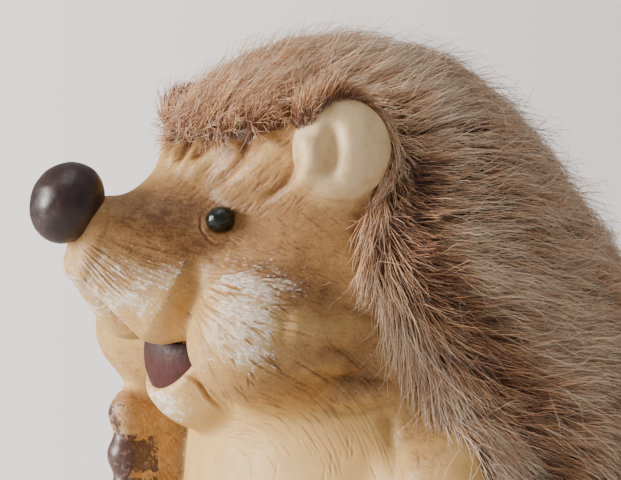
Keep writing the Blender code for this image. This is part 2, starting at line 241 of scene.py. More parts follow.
def fingers(first_root, first_tip, down):
    for i in range(FINGERS):
        drop = np.array(down) * i
        bend = 1.0 * (i - 1) ** 2 / FINGERS
        root, tip = np.array(first_root) + drop, np.array(first_tip) + drop
        tip = tip + (root - tip) / np.linalg.norm(root - tip) * bend
        yield root, tip


HAND_LEFT_FINGERS = list(fingers((13, -43.5, 69.5), (5.5, -45.5, 68.5), (0.4, 0, -FINGER_PITCH)))
HAND_RIGHT_FINGERS = list(fingers((-18.8, -38, 96.7), (-17.4, -47.4, 96.5), (0, 0, -RAISED_PITCH)))


def hand(palm, radii, pairs, blend=1.2):
    bars = [(Limb(root, tip, FINGER_RADIUS + 0.3, FINGER_RADIUS), blend) for root, tip in pairs]
    return Melted((Ball(palm, radii), 1), *bars)


ARM_LEFT = arm(1, (41, -20, 63), (24, -41, 58))
HAND_LEFT = hand((17, -43, 60), (7.5, 6.5, 11.5), HAND_LEFT_FINGERS)
ARM_RIGHT = arm(-1, (-40, -21, 68), (-25, -38, 82))
HAND_RIGHT = hand((-21.5, -37.5, 86), (5.4, 7, 12), HAND_RIGHT_FINGERS, 3.4)


def leg(side):
    return Ball((side * 29, -13, 21), (14.5, 20, 21))


def toes(side):
    x = side * 20
    for i in range(FINGERS):
        across = (i - (FINGERS - 1) / 2) * 4.9
        reach = -54.5 + 0.25 * across**2 / 4
        yield np.array((x + across * 0.9, -47, 4.6)), np.array((x + across, reach, 4.2))


def foot(side):
    x = side * 20
    bars = [(Limb(root, tip, 3.4, 3.1), 1.2) for root, tip in toes(side)]
    return Melted((Limb((x + side * 3, -22, 7), (x, -44, 6), 9, 7.6, 1.15), 4), *bars)


BODY = Melted(  # each solid with its fillet
    *((TORSO, 1), (CHEST, 8), (NECK, 10), (FACE, 8), (SKULL, 6), (leg(1), 5), (leg(-1), 5), (foot(1), 3)),
    *((foot(-1), 3), (ARM_LEFT, 4), (ARM_RIGHT, 4), (HAND_LEFT, 2), (HAND_RIGHT, 2), (SNOUT, 6), (STOP, 5)),
    *((cheek, 6) for cheek in CHEEKS),
    (Melted((LIP_PADS[0], 1), (LIP_PADS[1], 1.2)), 2.5),
    *((ear(1), 3.6), (ear(-1), 3.6), (JAW, 1.5)),
)


def figure_field(p):
    """The cast figure as it is in the CAD."""
    f = carve(BODY.field(p), np.maximum(MOUTH.field(p), p[:, 2] - MOUTH_ROOF), 0.7)
    for side in (1, -1):
        f = carve(f, ear_hollow(side).field(p), 1.8)
    return f


# ---- the pelt's outline, as in the CAD

PELT_EDGE = [  # (y, z) from the floor up the flank, over the ear and across the brow
    *((-3, 1.5), (-3, 40), (-8, 62), (-12, 82), (-15.5, 100), (-21, 110), (-25, 119), (-25.5, 130)),
    *((-24, 139), (-25.2, 145.0), (-29.5, 147.4), (-33.5, 145.8), (-37, 142.4), (-43, 140.8), (-58, 141.2)),
]
EDGE_PILE = 2.2
EDGE_RISE = 0.9


def smooth_line(points, steps=4):
    """Points on a smooth line through the given ones."""
    knots = np.array(points, float)
    if len(knots) < 3:
        return knots
    ends = np.vstack([2 * knots[0] - knots[1], knots, 2 * knots[-1] - knots[-2]])
    line = []
    for a, b, c, d in zip(ends, ends[1:], ends[2:], ends[3:]):
        for t in np.linspace(0, 1, steps, endpoint=False):
            square, cube = (2 * a - 5 * b + 4 * c - d) * t**2, (3 * b - a - 3 * c + d) * t**3
            line.append(0.5 * (2 * b + (c - a) * t + square + cube))
    return np.array(line + [knots[-1]])


def line_distance(q, line):
    """(distance from a line of points, share of the way along it, 1 or -1 for its side) of flat places."""
    best, where, side = np.full(len(q), 1e9), np.zeros(len(q)), np.ones(len(q))
    steps = length(np.diff(line, axis=0))
    run = np.concatenate([[0], np.cumsum(steps)]) / steps.sum()
    for i, (a, b) in enumerate(zip(line, line[1:])):
        span = b - a
        t = np.clip(((q - a) @ span) / (span @ span), 0, 1)
        d = length(q - a - t[:, None] * span)
        nearer = d < best
        best = np.where(nearer, d, best)
        where = np.where(nearer, run[i] + t * (run[i + 1] - run[i]), where)
        turn = span[1] * (q[:, 0] - a[0]) - span[0] * (q[:, 1] - a[1])
        side = np.where(nearer, np.sign(turn), side)
    return best, where, side


EDGE = smooth_line(PELT_EDGE)


def from_edge(p):
    """(distance from the pelt's edge seen from the side, positive behind it; the share of the way up it)."""
    distance, where, side = line_distance(p[:, 1:], EDGE)
    return distance * side, where


PELT = Melted((Ball(BACK_MIDDLE, BACK_OUTER), 1), (Ball(CROWN_MIDDLE, CROWN_OUTER), 14))
BACKING = Grown(PELT, -8.5)  # where the pelt's backing bridges the hollow of the neck


def pelt_field(p):
    """The outer form of the pile: full over the back, and tapering towards the pelt's edge."""
    behind = np.clip(from_edge(p)[0], 0, 30)
    thin = figure_field(p) - (EDGE_PILE + EDGE_RISE * behind)
    return carve(PELT.field(p), -thin, 2.0)


# ---- mesh tools


def linked(name, mesh):
    made = bpy.data.objects.new(name, mesh)
    bpy.context.scene.collection.objects.link(made)
    return made


def with_modifier(mesh, kind, **settings):
    """The mesh as a modifier makes it."""
    obj = linked("working", mesh)
    modifier = obj.modifiers.new(kind, kind)
    for key, value in settings.items():
        setattr(modifier, key, value)
    graph = bpy.context.evaluated_depsgraph_get()
    mesh = bpy.data.meshes.new_from_object(obj.evaluated_get(graph))
    bpy.data.objects.remove(obj)
    return mesh


def without(mesh, cutter):
    """The mesh less a closed cutter."""
    tool = linked("cutter", cutter)
    made = with_modifier(mesh, "BOOLEAN", object=tool, operation="DIFFERENCE", solver="EXACT")
    bpy.data.objects.remove(tool)
    return made


def points_of(mesh, what="co"):
    flat = np.empty(len(mesh.vertices) * 3, np.float32)
    mesh.vertices.foreach_get(what, flat)
    return flat.reshape(-1, 3).astype(float)


def set_points(mesh, p):
    mesh.vertices.foreach_set("co", p.astype(np.float32).ravel())
    mesh.update()


def from_lump(name, lump):
    """What a BMesh holds, as a mesh. The BMesh goes."""
    mesh = bpy.data.meshes.new(name)
    lump.to_mesh(mesh)
    lump.free()
    return mesh


def settled(p, field, rounds=2, step=0.02):
    """Points moved onto the field's surface, a short way at a time."""
    for _ in range(rounds):
        here = field(p)
        slope = np.stack([(field(p + step * axis) - here) / step for axis in np.eye(3)], axis=1)
        steepness = np.maximum((slope * slope).sum(axis=1), 0.05)
        move = -slope * (here / steepness)[:, None]
        p = p + move / np.maximum(length(move) / 1.2, 1)[:, None]
    return p


def relaxed(p, mesh, share):
    """Points moved towards the middle of their neighbours."""
    ends = np.empty(len(mesh.edges) * 2, np.int64)
    mesh.edges.foreach_get("vertices", ends)
    a, b = ends.reshape(-1, 2).T
    count = np.maximum(np.bincount(a, minlength=len(p)) + np.bincount(b, minlength=len(p)), 1)
    middle = [(np.bincount(a, p[b, i], len(p)) + np.bincount(b, p[a, i], len(p))) / count for i in range(3)]
    return p + share * (np.stack(middle, axis=1) - p)


def balls(solid, segments=20, rings=12):
    """The solid's balls as plain spheres in one mesh."""
    sphere, lump = bmesh.new(), bmesh.new()
    bmesh.ops.create_uvsphere(sphere, u_segments=segments, v_segments=rings, radius=1)
    one = from_lump("sphere", sphere)
    for centre, radii, matrix in solid.shells():
        copy = one.copy()
        copy.transform(Matrix.Translation(Vector(centre)) @ matrix.to_4x4() @ Matrix.Diagonal((*radii, 1)))
        lump.from_mesh(copy)
        bpy.data.meshes.remove(copy)
    return from_lump("balls", lump)


def slab(low, high, tilt=0.0, pivot=(0, 0, 0)):
    """A box between two corners, tilted in degrees about the X axis through pivot."""
    low, high, pivot = Vector(low), Vector(high), Matrix.Translation(Vector(pivot))
    turn = pivot @ Matrix.Rotation(math.radians(tilt), 4, "X") @ pivot.inverted()
    place = turn @ Matrix.Translation((low + high) / 2) @ Matrix.Diagonal((*(high - low), 1))
    lump = bmesh.new()
    bmesh.ops.create_cube(lump, size=1, matrix=place)
    return from_lump("slab", lump)


def finer(mesh, wanted):
    """Halves the edges whose two ends are both wanted."""
    lump = bmesh.new()
    lump.from_mesh(mesh)
    edges = [e for e in lump.edges if wanted[e.verts[0].index] and wanted[e.verts[1].index]]
    bmesh.ops.subdivide_edges(lump, edges=edges, cuts=1, use_grid_fill=True)
    lump.to_mesh(mesh)
    lump.free()


def waves(p, scale, seed, octaves=3):
    """Smooth noise between about -1 and 1, of slanted waves up to scale millimetres long."""
    rng = np.random.default_rng(seed)
    total, weight = np.zeros(len(p)), 0.0
    for octave in range(octaves):
        for _ in range(5):
            way = unit(rng.normal(size=3)) * (2 * math.pi / scale) * 2**octave
            shift = rng.uniform(0, 2 * math.pi) + 0.8 * np.sin(p @ way[[1, 2, 0]] * 0.6)
            total += 0.5**octave * np.sin(p @ way + shift)
            weight += 0.5**octave
    return total / weight * 2.2


def attribute(mesh, name, values):
    layer = mesh.attributes.new(name, "FLOAT", "POINT")
    layer.data.foreach_set("value", np.asarray(values, np.float32))


# ---- the sculpted skin

SKIN_VOXEL = 1.0
LID_OUT, LID_RADIUS, LID_THICK = 0.62, 2.2, 0.36


def lid_field(p, side):
    """The rolled lid round an eye: a ring about its line of sight."""
    flip = np.array((side, 1, 1))
    out = unit(np.array([0.80, -0.60, 0.05]))
    q = p - (EYE_AT + out * LID_OUT) * flip
    along = q @ (out * flip)
    return np.hypot(length(q - along[:, None] * (out * flip)) - LID_RADIUS, along) - LID_THICK


class Sculpted:
    """The figure with its lids and eye sockets and the pelt's backing, down to the floor."""

    def shells(self):
        yield from BODY.shells()
        yield from BACKING.shells()

    def field(self, p):
        f = figure_field(p)
        back = np.flatnonzero(f > -9)
        behind = from_edge(p[back])[0]
        f[back] = melt(f[back], np.maximum(BACKING.field(p[back]), 0.7 * (3 - behind)), 3)
        near = (np.abs(p[:, 2] - EYE_AT[2]) < 9) & (p[:, 1] < -34)
        q, g = p[near], f[near]
        for side in (1, -1):
            g = melt(g, lid_field(q, side), 0.8)
            g = carve(g, Ball(EYE_AT * np.array((side, 1, 1)), EYE_RADIUS + 0.12).field(q), 0.2)
        f[near] = g
        return np.maximum(f, -p[:, 2])


SCULPTED = Sculpted()
ACROSS, ALONG = 0.438, 0.899  # what one step across and one back add to s, on either side of the face


def face_place(p):
    """(s, z): how far back along the face a point is, as seen from half in front, and its height."""
    return np.stack([ACROSS * np.abs(p[:, 0]) + ALONG * p[:, 1], p[:, 2]], axis=1)


class Relief:
    """Collects the height of ridges and grooves over flat places, and how deep the grooves alone are."""

    def __init__(self, q):
        self.q = q
        self.height, self.groove = np.zeros(len(q)), np.zeros(len(q))

    def line(self, points, width, height, stain=0.6, start=0.15, end=0.3):
        """A ridge, or a groove if height is below zero, that fades over those shares of its two ends.
        stain is how much of the brown wash stays in the groove."""
        line = smooth_line(points)
        reach = 3 * width
        low, high = line.min(axis=0) - reach, line.max(axis=0) + reach
        near = np.flatnonzero(np.all((self.q > low) & (self.q < high), axis=1))
        if not len(near):
            return
        d, t, _ = line_distance(self.q[near], line)
        fade = ramp(t, -0.02, start) * (1 - ramp(t, 1 - end, 1.02))
        form = peak(d, width) * fade
        self.height[near] += height * form
        if height < 0:
            self.groove[near] = np.maximum(self.groove[near], stain * form * min(1, -height / 0.2))
            lip = peak(d - 2.1 * width, width) * fade
            self.height[near] -= 0.2 * height * lip * (width < 0.4)


FOLDS = [  # a line of (s, z), its half width, its height in millimetres and the wash that stays in it
    # brow locks
    ([(-39.3, 143), (-40.7, 140.4), (-42.6, 137.2)], 0.7, 0.55, 0),
    ([(-35.1, 143), (-37.2, 141.0), (-39.0, 138.6), (-41.4, 135.6)], 0.9, 0.7, 0),
    ([(-31.4, 142.4), (-34.1, 140.4), (-37.0, 138.0), (-39.6, 135)], 1.4, 0.8, 0),
    ([(-24.7, 142.2), (-26.4, 139.4), (-28.7, 137.1), (-31.4, 135.2), (-35.2, 132.6)], 2.3, 0.9, 0),
    ([(-38.2, 142.8), (-39.9, 139.2), (-41, 137.4)], 0.45, -0.6, 0.3),
    ([(-34.7, 142.4), (-36.3, 140), (-38.6, 137.8)], 0.5, -0.7, 0.3),
    ([(-29.4, 142.6), (-30.6, 138.9), (-32.8, 136.1), (-36, 133.9)], 0.7, -0.8, 0.3),
    ([(-22.6, 141.8), (-22.2, 138.5), (-23.1, 135.7), (-25.4, 133.4), (-28.6, 131.8)], 0.7, -0.7, 0.12),
    # the fold before the ear, and the ear's valley
    ([(-20.9, 142.6), (-20.0, 139.4), (-20.6, 136.4), (-22.6, 133.4)], 1.5, 0.9, 0),
    # the neck's overlapping locks
    ([(-24, 113.2), (-18, 112.7), (-10.8, 112.4)], 2.1, 0.9, 0),
    ([(-22, 107.2), (-17, 107.4), (-12.8, 107.0)], 1.7, 0.7, 0),
    ([(-16, 102), (-11, 102.8), (-6.5, 102.8)], 1.6, 0.5, 0),
    ([(-15.4, 116.4), (-12.3, 115.4), (-9.6, 113.8), (-8.8, 111.4)], 0.6, -0.5, 0.05),
    ([(-8.6, 111.2), (-11.6, 109.4), (-15.2, 109.6), (-18.5, 110.4)], 0.6, -0.28, 0),
    ([(-10.6, 108.4), (-11.6, 106.2), (-15.5, 104.8), (-19.4, 104.6)], 0.6, -0.28, 0),
    ([(-16.5, 104.4), (-12.4, 105.2), (-9.3, 105.0), (-6, 104.2)], 0.7, -0.6, 0),
    ([(-18, 100.2), (-13.9, 99.7), (-9.2, 100.8), (-5.6, 101.8)], 0.7, -0.6, 0.05),
    ([(-8.6, 101), (-7.4, 95.4), (-7.1, 88), (-8, 80)], 1.3, -0.8, 0.1),
    # muzzle to cheek, under the mouth's corner, and round the eye
    ([(-37.3, 121), (-37.9, 117.5), (-38.4, 113.5), (-37, 109.4)], 1.5, -0.7, 0),
    ([(-40, 105.0), (-37.4, 103.6), (-35.8, 101.2), (-33.2, 98.8)], 0.3, -0.5, 0.22),
    ([(-36.4, 126.6), (-34.6, 125.4), (-32.2, 125.6)], 0.18, -0.2, 0.15),
    ([(-37.0, 130.2), (-36.9, 127.6), (-35.4, 126.2)], 0.18, -0.2, 0.25),
]


MUZZLE_FAN, CHEEK_FAN, THROAT_FAN = (-60.5, 129.8), (-44, 120.5), (-38, 88)  # what the strokes turn about


def polar(centre, r, degrees):
    turn = math.radians(degrees)
    return centre[0] + r * math.cos(turn), centre[1] + r * math.sin(turn)


def muzzle_strokes(rng):
    """Lines that fan back and down from under the nose."""
    first, turn, count = -62, 44, 70
    for i in range(count):
        angle = first + turn * (i + rng.uniform(-0.6, 0.6)) / (count - 1)
        near, far = rng.uniform(6, 16), rng.uniform(13, 17) + 9 * (angle - first) / turn
        if far - near < 2:
            continue
        bend = rng.uniform(1, 5)
        points = [polar(MUZZLE_FAN, near + (far - near) * t, angle + bend * t * t) for t in (0, 0.5, 1)]
        strong = rng.uniform() < 0.3
        yield points, rng.uniform(0.1, 0.15), -rng.uniform(0.12, 0.22) * (1 if strong else 0.55), 0.38


def cheek_strokes(rng):
    """Lines that fan back over the cheek from the muzzle's crease."""
    count = 84
    for i in range(count):
        angle = -58 + 62 * (i + rng.uniform(-0.5, 0.5)) / (count - 1)
        near = rng.uniform(7, 21)
        far = near + rng.uniform(1.5, 6)
        bend = rng.uniform(-3, 5)
        points = [polar(CHEEK_FAN, near + (far - near) * t, angle - bend * t) for t in (0, 0.5, 1)]
        yield points, rng.uniform(0.1, 0.16), -rng.uniform(0.08, 0.24), rng.uniform(0.15, 0.4)


def throat_strokes(rng):
    """Arcs that leave the jaw backwards and turn down the chest."""
    inner, band, count = 8, 24, 130
    for i in range(count):
        r = inner + band * (i + rng.uniform(-0.5, 0.5)) / (count - 1)
        first = rng.uniform(24, 70) - 0.9 * (r - inner)
        last = first - rng.uniform(5, 20)
        points = [polar(THROAT_FAN, r + 1.2 * t, first + (last - first) * t) for t in (0, 0.33, 0.67, 1)]
        yield points, rng.uniform(0.09, 0.14), -rng.uniform(0.05, 0.15), rng.uniform(0.2, 0.6)


def body_strokes(rng):
    """Short lines that run down chest, belly, limbs and feet."""
    for _ in range(560):
        s, z = rng.uniform(-46, 34), rng.uniform(3, 97)
        drop, lean = rng.uniform(2, 7), rng.uniform(-0.8, 0.8)
        points = [(s, z), (s + lean * 0.4, z - drop / 2), (s + lean, z - drop)]
        yield points, rng.uniform(0.1, 0.18), -rng.uniform(0.04, 0.12), rng.uniform(0.1, 0.35)


def scratches(rng, count, across, up, angles, runs):
    """Short straight scratches at random places between the given limits."""
    for _ in range(count):
        s, z = rng.uniform(*across), rng.uniform(*up)
        angle, run = math.radians(rng.uniform(*angles)), rng.uniform(*runs)
        end = (s + run * math.cos(angle), z + run * math.sin(angle))
        yield [(s, z), end], rng.uniform(0.1, 0.16), -rng.uniform(0.05, 0.13), 0.3


def face_scratches(rng):
    """Behind the eye, down the brow locks and along the bridge."""
    yield from scratches(rng, 150, (-34, -8), (115, 131), (-42, -4), (0.8, 3))
    yield from scratches(rng, 130, (-42, -20), (131, 142), (212, 238), (1, 3.5))
    yield from scratches(rng, 90, (-51, -36), (122, 134), (-30, 0), (1.2, 4.5))


def relief(p, normals):
    """(height, groove) of the whole figure's carving."""
    q = face_place(p)
    height, groove = np.zeros(len(p)), np.zeros(len(p))
    for side in (1, -1):
        facing = ramp(normals @ np.array([ALONG * side, -ACROSS, 0]), -0.05, 0.3)
        mine = np.flatnonzero((p[:, 0] * side >= 0) & (facing > 0))
        carved = Relief(q[mine])
        for points, width, rise, stain in FOLDS:
            carved.line(points, width, rise, stain)
        rng = np.random.default_rng(11 + side)
        for strokes in (muzzle_strokes, cheek_strokes, throat_strokes, body_strokes, face_scratches):
            for points, width, rise, stain in strokes(rng):
                carved.line(points, width, rise, stain, 0.2, 0.5)
        height[mine] += carved.height * facing[mine]
        groove[mine] = np.maximum(groove[mine], carved.groove * facing[mine])
    return height, groove


def settle(mesh, share, rounds=1):
    """Evens the mesh out and brings it back onto the sculpted form."""
    p = points_of(mesh)
    for _ in range(rounds):
        p = settled(relaxed(p, mesh, share), SCULPTED.field)
    set_points(mesh, p)
    return p, from_edge(p)[0]


def skin_mesh():
    """The figure as one closed mesh, finest over the face, before its carving."""
    mesh = with_modifier(balls(SCULPTED), "REMESH", mode="VOXEL", voxel_size=SKIN_VOXEL)
    mesh = without(mesh, slab((-90, -90, -60), (90, 90, 0)))
    mesh = without(mesh, without(balls(MOUTH), slab((-60, -80, MOUTH_ROOF), (60, 0, 150))))
    for side in (1, -1):
        mesh = without(mesh, balls(ear_hollow(side)))
    mesh = with_modifier(mesh, "REMESH", mode="VOXEL", voxel_size=SKIN_VOXEL)
    p, behind = settle(mesh, 0.5, 2)
    finer(mesh, (behind < 4) & ((p[:, 1] < -8) | (p[:, 2] > 100)) & (p[:, 2] > 0.5))
    p, behind = settle(mesh, 0.3)
    finer(mesh, (behind < 2) & (p[:, 2] > 88) & (p[:, 1] < -20))
    settle(mesh, 0.3)
    return mesh


CLAW_RUN = 3.6  # how far the claws' paint comes back from the middle of a fingertip
BARE_RUN = -2.8  # the same on the raised hand's first finger, whose paint has worn off
TOE_RUN = 0.4
WASH_AND_SHADE = (  # the brown wash, with painted shade mixed in: how strong, where on the face as (s, z), and how far each way
    *((0.68, -44, 129.2, 11, 5), (0.42, -37, 124.2, 5, 3.4), (0.26, -33.6, 129.4, 7, 6)),  # bridge to eye
    *((0.3, -20, 124, 10, 7), (0.34, -19.5, 118.6, 5, 3), (0.42, -27, 121.6, 5, 2)),  # temple, the wash deepened as painted shade
    *((0.28, -30, 136.5, 9, 5), (0.14, -21, 130, 8, 6), (0.14, -37, 102, 4.5, 3)),  # brow, deepened as painted shade, and painted shade under the chin
    *((0.16, -11, 105, 6, 3), (0.34, -15, 110, 8, 6), (0.3, -24, 103, 8, 5), (0.46, -3, 96, 5, 9)),  # painted shade in the neck
    # painted shade in the neck
    (0.24, -12, 103, 6, 4),
)
WHITE = (  # the white dry-brush, in the same way
    *((0.76, -49.5, 116.5, 8.5, 5), (0.65, -53.5, 121.5, 5.5, 4.5), (0.45, -44, 121, 7, 3.6)),  # muzzle
    *((0.95, -31, 116.5, 6, 6.5), (0.6, -29, 110, 5, 4), (0.5, -25, 119, 6, 4)),  # cheek
    *((1.0, -42.5, 99.6, 4.5, 3.2), (0.5, -38, 108, 2.5, 4)),  # chin
    *((0.1, -33, 138, 6, 4), (0.2, -27, 92, 9, 7), (0.3, -15, 144, 4, 4)),  # brow, chest, and the ear's rim as painted light
)
CHEEK_CREASE = (1, -38.3, 113, 1.5, 6)  # which the dry-brush misses


def blobs(q, *table):
    """The sum of soft ovals, each falling from its strength to nothing."""
    return sum(power * peak(q[:, 0] - s, across) * peak(q[:, 1] - z, up) for power, s, z, across, up in table)


def finger_dark(p, root, tip, run):
    """Above 0 on the painted end of a finger or toe."""
    way = unit(tip - root)
    along = (p - tip) @ way
    beside = length((p - tip) - along[:, None] * way)
    return np.minimum(along + run, 2.5 * (3.9 - beside))


def paint(mesh, p, normals, height, groove):
    """Stores what the paint's nodes read."""
    q, z = face_place(p), p[:, 2]
    behind = from_edge(p)[0]
    from_ear = near_ear(p)[1]
    # where the face's general wash goes, deepened as painted shade; the ear gets little of it, which paints
    # it lighter
    face = ramp(z, 98, 106) * ramp(-p[:, 1], 12, 26) * (0.2 + 0.8 * ramp(from_ear, 7, 11))
    # the raised hand, darkened below as painted shade for the chin's shadow on it
    raised = 1 - ramp(HAND_RIGHT.field(p), 0.2, 1.4)
    wash_and_shade = groove + (0.24 - 0.22 * np.clip(height, 0, 1)) * face + blobs(q, *WASH_AND_SHADE) + 0.42 * raised
    wash_and_shade += 0.5 * peak(np.maximum(-behind, 0), 1.6) * (z > 100) * ramp(from_ear, 8, 11)
    for side in (1, -1):
        root, face_out = np.array(ear_point(side, 0, 0, 0)), np.array(ear_point(side, 1, 0, 0))
        out = (p - root) @ (face_out - root)
        wash_and_shade += 0.05 * (length(p - root) < 11) * (1 - ramp(out, 0.6, 2.6)) * (z > 134)
    white = blobs(q, *WHITE) * (1 - np.clip(2.8 * groove, 0, 0.95)) * (1 - 0.85 * blobs(q, CHEEK_CREASE))

    painted = [(root, tip, CLAW_RUN) for root, tip in HAND_RIGHT_FINGERS[1:] + HAND_LEFT_FINGERS]
    painted.append((*HAND_RIGHT_FINGERS[0], BARE_RUN))
    painted += [(root, tip, TOE_RUN) for side in (1, -1) for root, tip in toes(side)]
    dark = np.max([finger_dark(p, *finger) for finger in painted], axis=0)

    to_mouth = MOUTH.centre - p
    inward = ramp((to_mouth * normals).sum(axis=1) / length(to_mouth), 0, 0.3)
    mouth = 1 - ramp(MOUTH.field(p), 0.12 + 0.6 * inward, 0.35 + 0.8 * inward)
    mouth *= (z < MOUTH_ROOF + 0.5 + 0.4 * inward) * (p[:, 1] < -34)

    stored = {
        "wash_and_shade": np.clip(wash_and_shade, 0, 1.2),
        # painted light: a paler cream over the ear, and over the raised hand to grey its painted shade
        "painted_light": np.maximum(0.9 * raised, peak(np.maximum(from_ear - 6, 0), 4)),
        "white": np.clip(white, 0, 1),
        "dark": np.maximum(dark, -9),
        "mouth": mouth,
        # darker under the mouth's roof: painted shade, partly dark paint
        "mouth_roof_shade": mouth * ramp(z, 106.8, 109),
        "cloth": ramp(behind, 0, 0.9),
        "cheek_side": ramp(q[:, 0], -40, -36),
    }
    for name, centre in (("muzzle", MUZZLE_FAN), ("cheek", CHEEK_FAN)):
        away = q - centre
        stored[name + "_along"] = length(away)
        stored[name + "_turn"] = np.arctan2(away[:, 1], away[:, 0]) * 15
    for name, values in stored.items():
        attribute(mesh, name, values)


def piece(name, mesh, material, slot, *nodes):
    """A finished part of the figure, standing for CAD nodes."""
    p = points_of(mesh)
    p[:, 1] += SHIFT_Y
    set_points(mesh, p * MM)
    mesh.polygons.foreach_set("use_smooth", np.ones(len(mesh.polygons), bool))
    mesh.materials.clear()
    mesh.materials.append(material)
    made = linked(name, mesh)
    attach(made, "root")
    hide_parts(*nodes)
    return made


# ---- materials


class Nodes:
    """A node tree, with short calls for its nodes."""

    def __init__(self, tree):
        self.tree = tree

    def node(self, kind, inputs=None, **settings):
        made = self.tree.nodes.new("ShaderNode" + kind)
        for key, value in settings.items():
            setattr(made, key, value)
        for key, value in (inputs or {}).items():
            self.put(made.inputs[key], value)
        return made

    def put(self, socket, value):
        if isinstance(value, bpy.types.NodeSocket):
            self.tree.links.new(value, socket)
        else:
            socket.default_value = value

    def mix(self, share, a, b):
        a, b = ((*value, 1) if isinstance(value, tuple) else value for value in (a, b))
        return self.node("Mix", {0: share, 6: a, 7: b}, data_type="RGBA").outputs[2]


class Paint(Nodes):
    """A Principled material."""

    def __init__(self, name):
        self.material = bpy.data.materials.new(name)
        self.material.use_nodes = True
        super().__init__(self.material.node_tree)
        self.shader = self.tree.nodes["Principled BSDF"]
        self.place = self.node("TexCoord").outputs["Object"]

    def set(self, **inputs):
        for key, value in inputs.items():
            self.put(self.shader.inputs[key.replace("_", " ")], value)

    def read(self, name):
        return self.node("Attribute", attribute_name=name).outputs["Fac"]

    def calc(self, operation, a, b=0.0):
        return self.node("Math", {0: a, 1: b}, operation=operation).outputs[0]

    def times(self, a, b):
        return self.calc("MULTIPLY", a, b)

    def plus(self, a, b):
        return self.calc("ADD", a, b)

    def less(self, a, b):
        return self.calc("SUBTRACT", a, b)

    def span(self, value, low, high, to_low=0.0, to_high=1.0):
        """value carried smoothly from low..high to to_low..to_high."""
        inputs = {"Value": value, "From Min": low, "From Max": high, "To Min": to_low, "To Max": to_high}
        return self.node("MapRange", inputs, interpolation_type="SMOOTHSTEP").outputs[0]

    def noise(self, scale, detail=2.0, roughness=0.5, where=None, distortion=0.0):
        """Noise whose grains are about 1 / scale metres, from 0 to 1."""
        inputs = {"Scale": scale, "Detail": detail, "Roughness": roughness, "Distortion": distortion}
        return self.node("TexNoise", {**inputs, "Vector": where or self.place}).outputs["Fac"]

    def bump(self, height, strength, distance):
        inputs = {"Height": height, "Strength": strength, "Distance": distance}
        self.set(Normal=self.node("Bump", inputs).outputs[0])


CREAM = (0.67, 0.43, 0.155)
CREAM_WARM = (0.57, 0.34, 0.108)
# the paler cream of the painted light on the ear and the raised hand
CREAM_PALE = (0.80, 0.62, 0.40)
OCHRE = (0.335, 0.172, 0.056)
BROWN = (0.125, 0.047, 0.009)
DRY_WHITE = (0.86, 0.80, 0.72)
CLAW, CLAW_WORN = (0.055, 0.026, 0.027), (0.25, 0.17, 0.165)
MOUTH_RED = (0.07, 0.017, 0.013)
# the colour of the painted shade under the mouth's roof, partly dark paint
MOUTH_SHADE_BLACK = (0.034, 0.021, 0.021)
CLOTH = (0.10, 0.052, 0.03)


